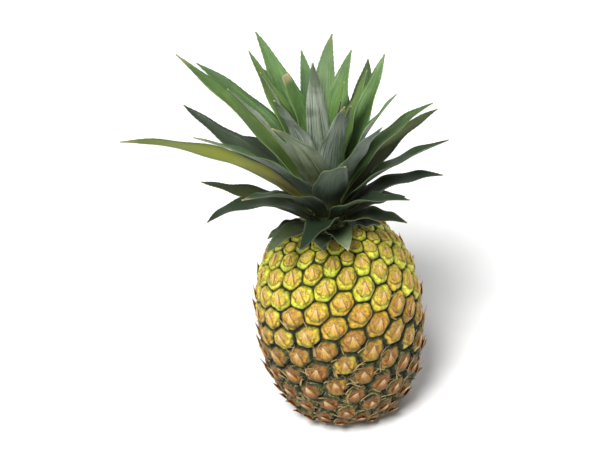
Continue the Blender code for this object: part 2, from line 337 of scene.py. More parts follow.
class Shape(Graph):
    """A Geometry Nodes tree with named inputs."""

    def __init__(self, name, inputs):
        super().__init__(bpy.data.node_groups.new(name, "GeometryNodeTree"))
        face = self.tree.interface
        face.new_socket("Geometry", in_out="OUTPUT", socket_type="NodeSocketGeometry")
        face.new_socket("Geometry", in_out="INPUT", socket_type="NodeSocketGeometry")
        for label, kind in inputs.items():
            face.new_socket(label, in_out="INPUT", socket_type="NodeSocket" + kind)
        self.given = self.nodes.new("NodeGroupInput").outputs
        self.end = self.nodes.new("NodeGroupOutput").inputs[0]

    def attribute(self, name, kind="FLOAT"):
        return self.add(
            "GeometryNodeInputNamedAttribute", data_type=kind, named={"Name": name}
        ).outputs[0]

    def store(self, geometry, name, value, kind="FLOAT", domain="POINT"):
        node = self.add("GeometryNodeStoreNamedAttribute", data_type=kind, domain=domain)
        for key, item in (("Geometry", geometry), ("Name", name), ("Value", value)):
            self.feed(node.inputs[key], item)
        return node.outputs[0]

    def place(self, geometry, position=None, offset=None, only=None):
        named = {"Geometry": geometry, "Selection": only, "Position": position, "Offset": offset}
        return self.add("GeometryNodeSetPosition", named=named).outputs[0]

    def thicken(self, sheet, thickness):
        """Thickens a sheet into a closed shell. Returns it and a test for its rim's faces."""
        normal = self.add("GeometryNodeInputNormal").outputs[0]
        sheet = self.store(sheet, "growth", self.vector("SCALE", normal, thickness), "FLOAT_VECTOR")
        named = {"Mesh": sheet, "Offset Scale": 0.0, "Individual": False}
        walls = self.add("GeometryNodeExtrudeMesh", mode="FACES", named=named)
        raised = self.place(
            self.store(walls.outputs[0], "outer", walls.outputs["Top"], domain="FACE"),
            offset=self.attribute("growth", "FLOAT_VECTOR"),
            only=walls.outputs["Top"],
        )
        raised = self.store(raised, "rim", walls.outputs["Side"], domain="FACE")
        back = self.add("GeometryNodeFlipFaces", sheet).outputs[0]
        both = self.add("GeometryNodeJoinGeometry")
        self.tree.links.new(back, both.inputs[0])
        self.tree.links.new(raised, both.inputs[0])
        named = {"Geometry": both.outputs[0], "Distance": 1e-6}
        shell = self.add("GeometryNodeMergeByDistance", named=named).outputs[0]
        return shell, self.math("GREATER_THAN", self.attribute("rim"), 0.5)

    def finish(self, geometry, flat=None):
        """Ends the tree in smooth shading, Realize Instances and Set Material."""
        smooth = self.add("GeometryNodeSetShadeSmooth", geometry).outputs[0]
        if flat is not None:
            named = {"Geometry": smooth, "Selection": flat, "Shade Smooth": False}
            smooth = self.add("GeometryNodeSetShadeSmooth", named=named).outputs[0]
        smooth = self.add("GeometryNodeRealizeInstances", smooth).outputs[0]
        named = {"Geometry": smooth, "Material": self.given["Material"]}
        self.tree.links.new(self.add("GeometryNodeSetMaterial", named=named).outputs[0], self.end)
        return self.tree


def add_object(name, data):
    made = bpy.data.objects.new(name, data)
    bpy.context.scene.collection.objects.link(made)
    return made


def grow(name, source, tree, values):
    """Runs a tree on a source mesh and keeps what it makes as a plain object."""
    holder = bpy.data.objects.new(name + "_source", source)
    modifier = holder.modifiers.new("shape", "NODES")
    modifier.node_group = tree
    for item in tree.interface.items_tree:
        if item.item_type == "SOCKET" and item.in_out == "INPUT" and item.name in values:
            modifier[item.identifier] = values[item.name]
    bpy.context.scene.collection.objects.link(holder)
    graph = bpy.context.evaluated_depsgraph_get()
    mesh = bpy.data.meshes.new_from_object(
        holder.evaluated_get(graph), preserve_all_data_layers=True, depsgraph=graph
    )
    bpy.data.objects.remove(holder, do_unlink=True)
    if not mesh.polygons:
        raise RuntimeError(f"{name}: the tree made no faces")
    # A shape that begins inside the tree comes with an empty slot, which no face uses.
    for slot in reversed(range(len(mesh.materials))):
        if mesh.materials[slot] is None:
            mesh.materials.pop(index=slot)
    mesh.name = name
    return add_object(name, mesh)


def fill_columns(mesh, columns):
    """Writes lists of numbers or of vectors as attributes of a mesh's points."""
    for name, values in columns.items():
        single = isinstance(values[0], float)
        layer = mesh.attributes.new(name, "FLOAT" if single else "FLOAT_VECTOR", "POINT")
        flat = values if single else [number for vector in values for number in vector]
        layer.data.foreach_set("value" if single else "vector", flat)


def tree_inputs(settings, keys, **more):
    """A tree's named inputs, taken from the settings of the same names."""
    return {**{key.title(): getattr(settings, key) for key in keys.split()}, **more}


def join_root(piece, slot, *nodes):
    """Sets a finished piece on the part's body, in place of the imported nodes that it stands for."""
    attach(piece, "root")
    if nodes:
        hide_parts(*nodes)


# Materials

# Colours of the small marks
GREEN_FOOT = (0.24, 0.36, 0.03)
DISC_BROWN = (0.42, 0.15, 0.016)
# Painted shadow that the bracts cast on the discs of the lower eyes
PAINTED_SHADOW_UNDER_BRACT = (0.13, 0.045, 0.008)
WRINKLE = (0.15, 0.045, 0.008)
DISC_RING = (0.14, 0.055, 0.008)
VEIN = (0.10, 0.06, 0.010)
BROWN_PATCH = (0.20, 0.09, 0.015)
DARK_SPECK = (0.10, 0.06, 0.012)
# Pale specks: flecks of dry tissue and painted highlight glints
PALE_FLECK_AND_GLINT = (0.88, 0.74, 0.34)
STRAND = (0.34, 0.25, 0.085)
# Dark rim round each eye: partly its own colour, partly painted shade going into the groove
EYE_EDGE_DARK_AND_SHADE = (0.050, 0.060, 0.008)
BRACT_FOOT_LOW = (0.050, 0.055, 0.012)
BRACT_FOOT_MIDDLE = (0.40, 0.30, 0.022)
BRACT_DULL = (0.075, 0.075, 0.010)
BRACT_BROWN_LOW = (0.34, 0.105, 0.014)
BRACT_BROWN_HIGH = (0.78, 0.46, 0.07)
BRACT_STRAND = (0.14, 0.045, 0.009)
BRACT_EDGE = (0.13, 0.06, 0.012)
BRACT_TIP = (0.16, 0.07, 0.02)
STRAW_DARK = (0.20, 0.13, 0.035)
STRAW = (0.62, 0.46, 0.19)
LEAF_LINE = (0.24, 0.40, 0.12)
LEAF_CLOUD = (0.045, 0.10, 0.028)
LEAF_PURPLE = (0.135, 0.115, 0.125)
LEAF_BLUE = (0.085, 0.125, 0.105)
LEAF_OLIVE = (0.17, 0.21, 0.05)
LEAF_DARK_LINE = (0.022, 0.040, 0.016)
AGED_FOOT = (0.40, 0.27, 0.035)
LEAF_EDGE = (0.22, 0.27, 0.11)
LEAF_SPOT = (0.30, 0.30, 0.17)
# Painted shade that the leaves cast on the stem
STEM_PAINTED_SHADE = (0.06, 0.07, 0.025)
STEM_PALE = (0.20, 0.22, 0.08)
STALK_PATCH = (0.34, 0.22, 0.10)
STALK_STRAND = (0.10, 0.055, 0.025)
STALK_EDGE = (0.15, 0.085, 0.04)
FLOOR_GRAIN = (0.80, 0.80, 0.80)


class Finish(Graph):
    """A material's node tree, whose colour is laid on in coats."""

    def __init__(self, name, colour_value):
        self.colour = colour_value
        self.material = bpy.data.materials.new(name)
        self.material.use_nodes = True
        super().__init__(self.material.node_tree)
        self.shader = self.nodes["Principled BSDF"]
        self.where = self.add("ShaderNodeTexCoord").outputs["Object"]

    def attribute(self, name):
        return self.add("ShaderNodeAttribute", attribute_name=name).outputs["Fac"]

    def flat(self, name):
        return self.add("ShaderNodeUVMap", uv_map=name).outputs[0]

    def bump(self, height, distance, strength):
        named = {"Strength": strength, "Distance": distance, "Height": height}
        return self.add("ShaderNodeBump", named=named).outputs[0]

    def coat(self, colour_value, *masks):
        """Lays a colour over the ones before, by the product of its masks."""
        self.colour = self.blend(self.times(*masks), self.colour, colour_value)

    def end(self, roughness, normal, **constants):
        self.feed(self.shader.inputs["Base Color"], self.opaque(self.colour))
        self.feed(self.shader.inputs["Roughness"], roughness)
        self.feed(self.shader.inputs["Normal"], normal)
        for key, value in constants.items():
            self.shader.inputs[key.replace("_", " ")].default_value = value
        return self.material


def skin_material(s):
    """The fruit's rind: dark grooves, coloured bract bases, tan discs and corky ends."""
    g = Finish("pineapple_skin", s.skin_base)
    u, v, _ = g.xyz(g.flat("eye"))
    edge = g.attribute("edge")
    tint = g.attribute("tint")
    height = g.math("DIVIDE", g.xyz(g.where)[2], s.height)
    mottle = g.noise(g.where, 70, 4)
    fine = g.noise(g.where, 420, 5, 0.6)
    wide = g.noise(g.where, 11, 2)
    drift = g.vary(height, (tint, 0.38), (wide, 0.55), (mottle, 0.35))
    g.coat(s.skin_middle, g.ramp(drift, 0.26, 0.64))
    g.coat(s.skin_top, g.ramp(drift, 0.50, 0.82))
    g.coat(GREEN_FOOT, g.ramp(v, -0.35, -0.95), g.ramp(drift, 0.25, 0.7), 0.55)

    # The disc, with the rays, the pale tissue, the ring in it and a painted shadow under the bract
    bend = g.xyz(g.wander(g.where, 150.0, 3.0))
    u = g.plus(u, g.times(bend[0], 0.55))
    up = g.plus(g.less(v, 0.20), g.times(bend[1], 0.55))
    apart = g.vector("LENGTH", g.combine(u, g.times(up, 1.08)))
    in_disc = g.ramp(apart, 0.82, 0.62)
    turn = g.math("ARCTAN2", u, up)
    ray_at = g.combine(g.times(turn, 3.2), g.times(apart, 1.1), g.times(tint, 9))
    rays = g.noise(ray_at, 3.0, 4, 0.7)
    brown_top = g.times(
        g.ramp(up, 0.0, 0.5),
        g.ramp(mottle, 0.35, 0.6, 0.35, 0.85),
        g.ramp(height, 0.9, 0.5, 0.5, 1),
    )
    disc = g.blend(g.ramp(drift, 0.28, 0.78), s.disc_base, s.disc_top)
    disc = g.blend(brown_top, disc, DISC_BROWN)
    g.coat(disc, in_disc, g.ramp(height, 0.45, 0.85, 0.92, 0.6))
    low = g.ramp(height, 0.75, 0.30)
    # Painted shadow: on the lower eyes the disc darkens towards its middle, where the bract lies over
    # it
    g.coat(PAINTED_SHADOW_UNDER_BRACT, g.ramp(apart, 0.70, 0.30), g.times(low, 0.80))
    pale = g.times(g.ramp(apart, 0.55, 0.12), g.ramp(rays, 0.38, 0.60))
    g.coat(s.scar_pale, pale, g.ramp(low, 0.2, 0.9, 1, 0.35), 0.85)
    g.coat(WRINKLE, g.ramp(rays, 0.50, 0.34), g.ramp(apart, 1.0, 0.35), 0.75)
    ring = g.times(g.ramp(apart, 0.60, 0.74), g.ramp(apart, 0.92, 0.78))
    g.coat(DISC_RING, ring, g.ramp(up, 0.3, -0.2, 0.3, 1), 0.8)

    # Marks all over the skin
    vein = g.math("ABSOLUTE", g.less(g.noise(g.where, 210, 3, 0.6, 0.6), 0.5))
    g.coat(VEIN, g.ramp(vein, 0.026, 0.004, 0, 0.45))
    patches = g.ramp(g.noise(g.where, 46, 4, 0.6), 0.52, 0.66)
    g.coat(BROWN_PATCH, patches, g.ramp(height, 0.4, 0.8, 0.75, 0.12))
    g.coat(DARK_SPECK, g.ramp(fine, 0.58, 0.70), 0.38)
    # Pale specks over the skin: dry flecks together with painted highlight glints
    g.coat(PALE_FLECK_AND_GLINT, g.ramp(g.noise(g.where, 900, 2), 0.60, 0.72), 0.3)

    # The grooves between the eyes, wider below, dark with their own green and with painted shade, and
    # the cork of the base
    worn = g.vary(edge, (mottle, 0.34), (fine, 0.12))
    worn = g.plus(worn, g.times(low, 0.25))
    worn = g.less(worn, g.ramp(height, 0.55, 0.80, 0, 0.05))
    groove = g.blend(g.ramp(g.noise(g.where, 120, 3), 0.46, 0.66, 0, 0.8), s.groove, s.groove_pale)
    strand = g.math("ABSOLUTE", g.less(g.noise(g.where, 130, 4, 0.6), 0.5))
    strand = g.times(g.ramp(strand, 0.030, 0.006), g.times(low, 0.7))
    groove = g.blend(strand, groove, STRAND)
    # Dark band at each eye's edge and the near black groove: partly the skin's own dark green, partly
    # painted shade in the recess
    g.coat(EYE_EDGE_DARK_AND_SHADE, g.ramp(worn, 0.66, 0.93), 0.75)
    groove_colour_and_shade = g.ramp(worn, 0.84, 0.94)
    g.coat(groove, groove_colour_and_shade)
    g.coat(s.cork, g.ramp(height, 0.035, 0.012, 0, 0.9))
    rough = g.plus(g.times(groove_colour_and_shade, 0.3), g.times(fine, 0.25), 0.34)
    relief = g.plus(g.times(rays, in_disc), g.times(fine, 0.7), g.ramp(vein, 0.0, 0.03, 0, 0.5))
    return g.end(rough, g.bump(relief, 0.0010, 0.9), Specular_IOR_Level=0.45)


def bract_material(s):
    """Bracts: fleshy and lime at the foot of the upper ones, dark below, with dry pale tips."""
    g = Finish("dry_bract", BRACT_FOOT_LOW)
    across, along, _ = g.xyz(g.flat("blade"))
    tint, sliver = g.attribute("tint"), g.attribute("sliver")
    height = g.math("DIVIDE", g.xyz(g.where)[2], s.height)
    drift = g.vary(height, (tint, 0.38), (g.noise(g.where, 11, 2), 0.55))
    mottle = g.noise(g.where, 240, 4, 0.6)
    fibre_at = g.combine(g.times(across, 7.0), g.times(along, 1.2), tint)
    fibre = g.noise(fibre_at, 2.4, 4, 0.65)
    g.coat(BRACT_FOOT_MIDDLE, g.ramp(drift, 0.22, 0.58))
    g.coat(s.skin_top, g.ramp(drift, 0.42, 0.80))
    g.coat(BRACT_DULL, g.ramp(mottle, 0.58, 0.42), 0.6)
    brown = g.blend(g.ramp(height, 0.2, 0.75), BRACT_BROWN_LOW, BRACT_BROWN_HIGH)
    ragged = g.vary(along, (mottle, 0.25))
    g.coat(brown, g.ramp(ragged, 0.30, 0.52))
    g.coat(s.scar_pale, g.ramp(ragged, 0.50, 0.82))
    g.coat(BRACT_STRAND, g.ramp(fibre, 0.56, 0.40), g.ramp(height, 0.4, 0.85, 0.8, 0.45))
    g.coat(BRACT_EDGE, g.ramp(g.math("ABSOLUTE", across), 0.55, 1.0, 0, 0.5))
    g.coat(BRACT_TIP, g.ramp(along, 0.90, 1.0, 0, 0.6))
    g.coat(g.blend(g.ramp(fibre, 0.4, 0.6), STRAW_DARK, STRAW), sliver)
    relief = g.plus(fibre, g.times(mottle, 0.5))
    return g.end(0.6, g.bump(relief, 0.0005, 0.8), Specular_IOR_Level=0.4)


def leaf_material(c):
    """A stiff leaf: grey wax on the outer face, green within, fine lines along it and a dry tip."""
    g = Finish("crown_leaf", c.inner)
    across, along, _ = g.xyz(g.flat("blade"))
    outer, rank = g.attribute("outer"), g.attribute("rank")
    tint, yellow, dry = g.attribute("tint"), g.attribute("yellow"), g.attribute("dry")
    side = g.math("ABSOLUTE", across)
    line_at = g.combine(g.times(across, 5.5), g.times(along, 0.9), tint)
    lines = g.noise(line_at, 3.0, 5, 0.7)
    broad = g.noise(g.combine(g.times(across, 2.0), along, tint), 3.1, 3)
    cloud = g.noise(g.where, 55, 4)
    g.coat(c.young, g.ramp(rank, 0.45, 0.95))
    g.coat(LEAF_LINE, g.ramp(lines, 0.46, 0.64, 0, 0.45))
    g.coat(LEAF_CLOUD, g.ramp(cloud, 0.55, 0.40, 0, 0.45))

    # The outer face, under its wax
    wax = g.times(
        g.ramp(cloud, 0.26, 0.54, 0.35, 1.0),
        g.ramp(lines, 0.38, 0.53, 0.22, 1.0),
        g.ramp(along, 0.97, 0.66, 0.03, 1.0),
        g.ramp(rank, 0.45, 0.97, 0.12, 1.25),
    )
    wax = g.math("MINIMUM", wax, 1)
    # Lower leaves' outer face darker: painted shade over their own dark green
    back = g.blend(g.ramp(rank, 0.3, 0.6), c.outer_low_dark_and_shade, c.outer)
    back = g.blend(wax, back, c.bloom)
    purple = g.times(g.ramp(broad, 0.45, 0.65), g.ramp(tint, 0.3, 0.9, 0, 0.6))
    g.coat(g.blend(purple, back, LEAF_PURPLE), outer)

    # Both faces
    g.coat(LEAF_BLUE, g.ramp(tint, 0.6, 1.0, 0, 0.35))
    g.coat(LEAF_OLIVE, g.ramp(tint, 0.4, 0.0, 0, 0.30))
    # The lowest leaves near black: their own dark green with painted shade laid over it
    g.coat(c.low_leaf_dark_and_shade, g.ramp(g.vary(rank, (tint, 0.14)), 0.66, 0.36, 0, 0.93))
    g.coat(LEAF_DARK_LINE, g.ramp(lines, 0.50, 0.36, 0, 0.55))
    aged = g.blend(g.ramp(along, 0.42, 0.12, 0, 0.8), c.yellow, AGED_FOOT)
    aging = g.times(yellow, g.ramp(side, 1.1, 0.2, 0.55, 1.0))
    g.coat(aged, aging, g.ramp(along, 0.95, 0.35, 0.35, 1.0))
    collar = g.times(g.ramp(rank, 0.24, 0.06), g.ramp(along, 0.45, 0.9))
    g.coat(c.collar, collar, g.ramp(cloud, 0.35, 0.6, 0.2, 0.9))
    g.coat(c.foot, g.ramp(along, 0.20, 0.02), g.ramp(rank, 0.3, 0.7, 0.2, 0.85))
    g.coat(LEAF_EDGE, g.ramp(side, 0.93, 1.0, 0, 0.30))
    worn = g.vary(along, (broad, 0.10))
    dead = g.times(dry, g.ramp(worn, 0.90, 0.97))
    dead = g.math("MAXIMUM", g.ramp(worn, 0.99, 1.005), dead)
    g.coat(c.dry, dead)
    g.coat(LEAF_SPOT, g.ramp(g.noise(g.where, 380, 2), 0.70, 0.78, 0, 0.35))
    rough = g.plus(g.times(wax, 0.22), g.times(lines, 0.14), 0.33, g.times(dead, 0.25))
    relief = g.plus(lines, g.times(cloud, 0.3))
    return g.end(rough, g.bump(relief, 0.0005, 0.75), Specular_IOR_Level=0.5)


def stem_material():
    """The pale green stem inside the crown: pale green streaks over a dark green that is painted
    shade from the leaves.
    """
    g = Finish("crown_stem", STEM_PAINTED_SHADE)
    streak = g.noise(g.vector("MULTIPLY", g.where, (240, 240, 30)), 1.0, 4)
    g.coat(STEM_PALE, g.ramp(streak, 0.35, 0.65))
    return g.end(0.65, g.bump(streak, 0.0006, 0.8))


def stalk_material(s):
    """A dry cut end: straw-coloured fibre with dark strands and a corky edge."""
    g = Finish("cut_stalk", s.stalk)
    x, y, _ = g.xyz(g.where)
    out = g.vector("LENGTH", g.combine(x, y))
    strands = g.noise(g.where, 1500, 2)
    patch = g.noise(g.where, 260, 4)
    g.coat(STALK_PATCH, g.ramp(patch, 0.35, 0.65))
    g.coat(STALK_STRAND, g.ramp(strands, 0.60, 0.68, 0, 0.7))
    g.coat(STALK_EDGE, g.ramp(out, 0.0095, 0.0118, 0, 0.75))
    return g.end(0.88, g.bump(g.plus(strands, patch), 0.0006, 0.9))


def floor_material(colour_value):
    """Plain pale floor."""
    g = Finish("pale_floor", colour_value)
    g.coat(FLOOR_GRAIN, g.ramp(g.noise(g.where, 3, 2), 0.3, 0.7, 0, 0.04))
    return g.end(0.9, None, Specular_IOR_Level=0.1)


# The fruit


class Outline:
    """The fruit's outline, read by a latitude that grows by distance over radius."""

    def __init__(self, s):
        self.s = s
        self.points = [self.at_turn(i / CURVE_STEPS) for i in range(CURVE_STEPS + 1)]
        self.latitudes = [0.0]
        for low, high in zip(self.points, self.points[1:]):
            step = math.dist(low, high) / ((low[0] + high[0]) / 2)
            self.latitudes.append(self.latitudes[-1] + step)
        self.top = self.latitudes[-1]

    def at_turn(self, portion):
        """(radius, height) as a point runs from the base's edge up to the neck."""
        s = self.s
        if portion < 0.5:
            cut, fullness, rise = s.base_radius, s.base_fullness, -s.belly_height
        else:
            cut, fullness, rise = s.neck_radius, s.shoulder_fullness, s.height - s.belly_height
        last = math.acos((cut / s.belly_radius) ** (fullness / 2))
        turn = last * abs(2 * portion - 1)
        radius = s.belly_radius * math.cos(turn) ** (2 / fullness)
        along = (math.sin(turn) / math.sin(last)) ** (2 / fullness)
        return radius, s.belly_height + rise * along

    def at(self, latitude):
        """(radius, height) at a latitude, held between the two ends."""
        if latitude <= 0:
            return self.points[0]
        if latitude >= self.top:
            return self.points[-1]
        high = bisect.bisect_right(self.latitudes, latitude)
        low = high - 1
        portion = (latitude - self.latitudes[low]) / (self.latitudes[high] - self.latitudes[low])
        first, second = self.points[low], self.points[high]
        return mix(first[0], second[0], portion), mix(first[1], second[1], portion)

    def pitch(self, latitude):
        """The distance between eyes at a latitude."""
        radius, _ = self.at(latitude)
        return self.s.pitch * mix(self.s.end_share, 1, radius / self.s.belly_radius)

    def place(self, azimuth, latitude):
        radius, height = self.at(latitude)
        return Vector((radius * math.cos(azimuth), radius * math.sin(azimuth), height))

    def out(self, azimuth, latitude):
        """The skin's outward direction."""
        near = 0.02
        low, high = self.at(max(0, latitude - near)), self.at(min(self.top, latitude + near))
        across, up = high[1] - low[1], low[0] - high[0]
        return Vector((across * math.cos(azimuth), across * math.sin(azimuth), up)).normalized()


def eye_centres(outline):
    """(azimuth, latitude) of each eye, a golden angle apart, up the fruit and past its ends."""
    margin = 0.6
    centres = []
    latitude = -margin
    while latitude < outline.top + margin:
        radius, _ = outline.at(latitude)
        centres.append(((len(centres) * GOLDEN_ANGLE) % (2 * math.pi), latitude))
        cell_area = outline.pitch(latitude) ** 2 * math.sqrt(3) / 2
        latitude += cell_area / (2 * math.pi * radius * radius)
    return centres


class Corner:
    """A point of an eye's outline, and which eyes share it, so that it's made only once."""

    def __init__(self, shared, azimuth, latitude):
        self.shared = shared
        self.azimuth = azimuth
        self.latitude = latitude

    def towards(self, other, latitude):
        """The point at a latitude on the line from this corner to another."""
        portion = (latitude - self.latitude) / (other.latitude - self.latitude)
        azimuth = mix(self.azimuth, other.azimuth, portion)
        return Corner((self.shared, other.shared), azimuth, latitude)


def eye_cells(centres):
    """The outline of each eye as its corners, each the middle of three neighbouring eyes."""
    count = len(centres)
    around = [(a + turn, b) for turn in (-2 * math.pi, 0, 2 * math.pi) for a, b in centres]
    _, _, triangles, _, _, _ = delaunay_2d_cdt([Vector(p) for p in around], [], [], 0, 1e-9)
    corners = {}
    for triangle in triangles:
        azimuth = sum(around[i][0] for i in triangle) / 3
        latitude = sum(around[i][1] for i in triangle) / 3
        corner = Corner(tuple(sorted(i % count for i in triangle)), azimuth, latitude)
        for i in triangle:
            corners.setdefault(i, []).append(corner)
    cells = []
    for i in range(count, 2 * count):
        azimuth, latitude = around[i]
        cells.append(
            sorted(corners[i], key=lambda c: math.atan2(c.latitude - latitude, c.azimuth - azimuth))
        )
    return cells


def cut_cell(cell, limit, above):
    """The part of an outline above a latitude, or below it."""
    kept = []
    for here, after in zip(cell, cell[1:] + cell[:1]):
        here_kept = (here.latitude > limit) == above
        if here_kept:
            kept.append(here)
        if here_kept != ((after.latitude > limit) == above):
            first, second = sorted((here, after), key=lambda c: c.shared)
            kept.append(first.towards(second, limit))
    return kept


class Eye:
    """One eye: its outline, its middle, and whether it's whole."""

    def __init__(self, number, cell, outline):
        self.corners = cut_cell(cut_cell(cell, 0, True), outline.top, False)
        self.whole = all(0 < corner.latitude < outline.top for corner in cell)
        if len(self.corners) < 3:
            return
        self.azimuth = sum(c.azimuth for c in self.corners) / len(self.corners)
        self.latitude = sum(c.latitude for c in self.corners) / len(self.corners)
        self.radius, self.height = outline.at(self.latitude)
        self.half_pitch = outline.pitch(self.latitude) / 2
        self.tint = random.Random(number).uniform(0.01, 1)
        near_neck = smooth_step(NECK_FADE_LOW, NECK_FADE_HIGH, self.height)
        above_base = smooth_step(EYE_FLAT_HEIGHT, EYE_FULL_HEIGHT, self.height)
        self.lift = above_base * mix(1, NECK_LIFT, near_neck) if self.whole else 0

    def local(self, azimuth, latitude):
        """A place in the eye, where 1 is half the distance between two eyes."""
        size = self.radius / self.half_pitch
        return (azimuth - self.azimuth) * size, (latitude - self.latitude) * size


def all_eyes(outline):
    made = [Eye(i, cell, outline) for i, cell in enumerate(eye_cells(eye_centres(outline)))]
    return [eye for eye in made if len(eye.corners) > 2]


class SkinSource:
    """The fruit's coarse skin: four-sided faces round each eye's middle, for the tree to shape."""

    def __init__(self, s):
        self.s = s
        self.outline = Outline(s)
        self.bm = bmesh.new()
        self.out = self.bm.verts.layers.float_vector.new("out")
        self.tint = self.bm.faces.layers.float.new("tint")
        self.lift = self.bm.faces.layers.float.new("lift")
        self.middle = self.bm.faces.layers.float_vector.new("middle")
        self.eye_map = self.bm.loops.layers.uv.new("eye")
        self.fan_map = self.bm.loops.layers.uv.new("fan")
        self.shared = {}

    def vert(self, key, azimuth, latitude):
        if key not in self.shared:
            made = self.bm.verts.new(self.outline.place(azimuth, latitude))
            made[self.out] = self.outline.out(azimuth, latitude)
            self.shared[key] = made
        return self.shared[key]

    def add_eye(self, number, eye):
        centre = (self.vert(number, eye.azimuth, eye.latitude), (0.0, 0.0))
        corners, middles = [], []
        for here, after in zip(eye.corners, eye.corners[1:] + eye.corners[:1]):
            spots = (
                (corners, here.shared, here.azimuth, here.latitude),
                (
                    middles,
                    frozenset((here.shared, after.shared)),
                    (here.azimuth + after.azimuth) / 2,
                    (here.latitude + after.latitude) / 2,
                ),
            )
            for row, key, azimuth, latitude in spots:
                row.append((self.vert(key, azimuth, latitude), eye.local(azimuth, latitude)))
        for i, corner in enumerate(corners):
            ring = (corner, middles[i], centre, middles[i - 1])
            face = self.bm.faces.new([vert for vert, _ in ring])
            for loop, (_, place), fan in zip(face.loops, ring, ((1, 1), (1, 0), (0, 0), (0, 1))):
                loop[self.eye_map].uv = place
                loop[self.fan_map].uv = fan
            face[self.tint] = eye.tint
            face[self.lift] = eye.lift
            face[self.middle] = centre[0].co

    def rim(self, height):
        """The open edges at one height."""
        open_edges = [e for e in self.bm.edges if e.is_boundary]
        return [e for e in open_edges if all(abs(v.co.z - height) < 1e-6 for v in e.verts)]

    def step_inwards(self, edges, radius, height):
        """Extrudes a round rim to a new radius and height. Returns the new rim."""
        made = bmesh.ops.extrude_edge_only(self.bm, edges=edges)["geom"]
        for vert in (g for g in made if isinstance(g, bmesh.types.BMVert)):
            flat = Vector((vert.co.x, vert.co.y)).normalized() * radius
            vert.co = (flat.x, flat.y, height)
        return [g for g in made if isinstance(g, bmesh.types.BMEdge) and g.is_boundary]

    def sort(self):
        """Sorts edges and faces by their points, as extruding adds them in no fixed order."""
        self.bm.verts.index_update()
        many = len(self.bm.verts)

        def place(item):
            numbers = sorted(vert.index for vert in item.verts)
            return (numbers[0] * many + numbers[1]) * many + numbers[-1]

        self.bm.edges.sort(key=place)
        self.bm.faces.sort(key=place)

    def finish(self):
        """The mesh, its base closed by a flat ring and a hollow and its neck by a flat."""
        s = self.s
        for number, eye in enumerate(all_eyes(self.outline)):
            self.add_eye(number, eye)
        neck, base = self.rim(s.height), self.rim(0)
        bmesh.ops.edgenet_fill(self.bm, edges=neck)
        ring = self.step_inwards(base, s.ring_inner, 0)
        bmesh.ops.edgenet_fill(self.bm, edges=self.step_inwards(ring, s.hollow_top, s.hollow_depth))
        for loop in (loop for face in self.bm.faces if face[self.tint] == 0 for loop in face.loops):
            loop[self.fan_map].uv = (1, 1)
        self.sort()
        bmesh.ops.recalc_face_normals(self.bm, faces=self.bm.faces)
        mesh = bpy.data.meshes.new("skin_source")
        self.bm.to_mesh(mesh)
        self.bm.free()
        return mesh


def skin_tree():
    """Raises every eye to a rounded tile with a sunken disc, a rim round it and a wrinkled skin."""
    sizes = dict.fromkeys(("Relief", "Shoulder", "Scar", "Rim", "Grain"), "Float")
    g = Shape("raised_eyes", {"Levels": "Int", **sizes, "Material": "Material"})
    skin = g.add("GeometryNodeSubdivideMesh", g.given["Geometry"], g.given["Levels"]).outputs[0]
    a, b, _ = g.xyz(g.attribute("fan", "FLOAT_VECTOR"))
    corner = g.plus(g.math("POWER", a, FAN_POWER), g.math("POWER", b, FAN_POWER))
    reach = g.math("MINIMUM", g.math("POWER", corner, 1 / FAN_POWER), 1)
    skin = g.store(skin, "reach", reach, domain="CORNER")
    reach = g.attribute("reach")
    crowded = g.less(1, g.math("POWER", g.less(1, reach), 1.5))
    stretch = g.math("DIVIDE", crowded, g.math("MAXIMUM", reach, 1e-4))
    local = g.vector("SCALE", g.attribute("eye", "FLOAT_VECTOR"), stretch)
    skin = g.store(skin, "eye", local, "FLOAT2", "CORNER")
    middle = g.attribute("middle", "FLOAT_VECTOR")
    position = g.add("GeometryNodeInputPosition").outputs[0]
    arm = g.vector("SCALE", g.vector("SUBTRACT", position, middle), stretch)
    skin = g.place(skin, position=g.vector("ADD", middle, arm))
    skin = g.store(skin, "edge", crowded)
    edge = g.attribute("edge")
    u, v, _ = g.xyz(g.attribute("eye", "FLOAT_VECTOR"))
    tint = g.attribute("tint")
    uneven = g.less(g.noise(position, 100, 2), 0.5)
    edge = g.plus(edge, g.times(uneven, g.times(edge, 0.22)))
    edge = g.math("MINIMUM", g.math("MAXIMUM", edge, 0), 1)
    square = g.less(1, g.math("POWER", edge, g.given["Shoulder"]))
    round_top = g.less(1, g.times(edge, edge))
    dome = g.add("ShaderNodeMix", DOME_SHARE, None, square, round_top).outputs[0]
    size = g.times(g.given["Relief"], g.math("MULTIPLY_ADD", tint, 0.3, 0.85))
    height = g.times(size, dome)
    apart = g.vector("LENGTH", g.combine(u, g.times(g.less(v, 0.16), 1.08)))
    height = g.less(height, g.times(g.given["Scar"], g.ramp(apart, 0.70, 0.46)))
    rim = g.times(g.ramp(apart, 0.46, 0.62), g.ramp(apart, 0.86, 0.66))
    rim = g.times(rim, g.ramp(v, 0.55, -0.1, 0.35, 1))
    point = g.times(g.ramp(apart, 0.34, 0.0), EYE_POINT)
    coarse = g.less(g.noise(position, 130, 3, 0.6), 0.5)
    grain = g.times(coarse, g.times(g.given["Grain"], 3))
    height = g.plus(height, g.times(rim, g.given["Rim"]), point, grain)
    height = g.times(height, g.attribute("lift"))
    offset = g.vector("SCALE", g.attribute("out", "FLOAT_VECTOR"), height)
    return g.finish(g.place(skin, offset=offset))


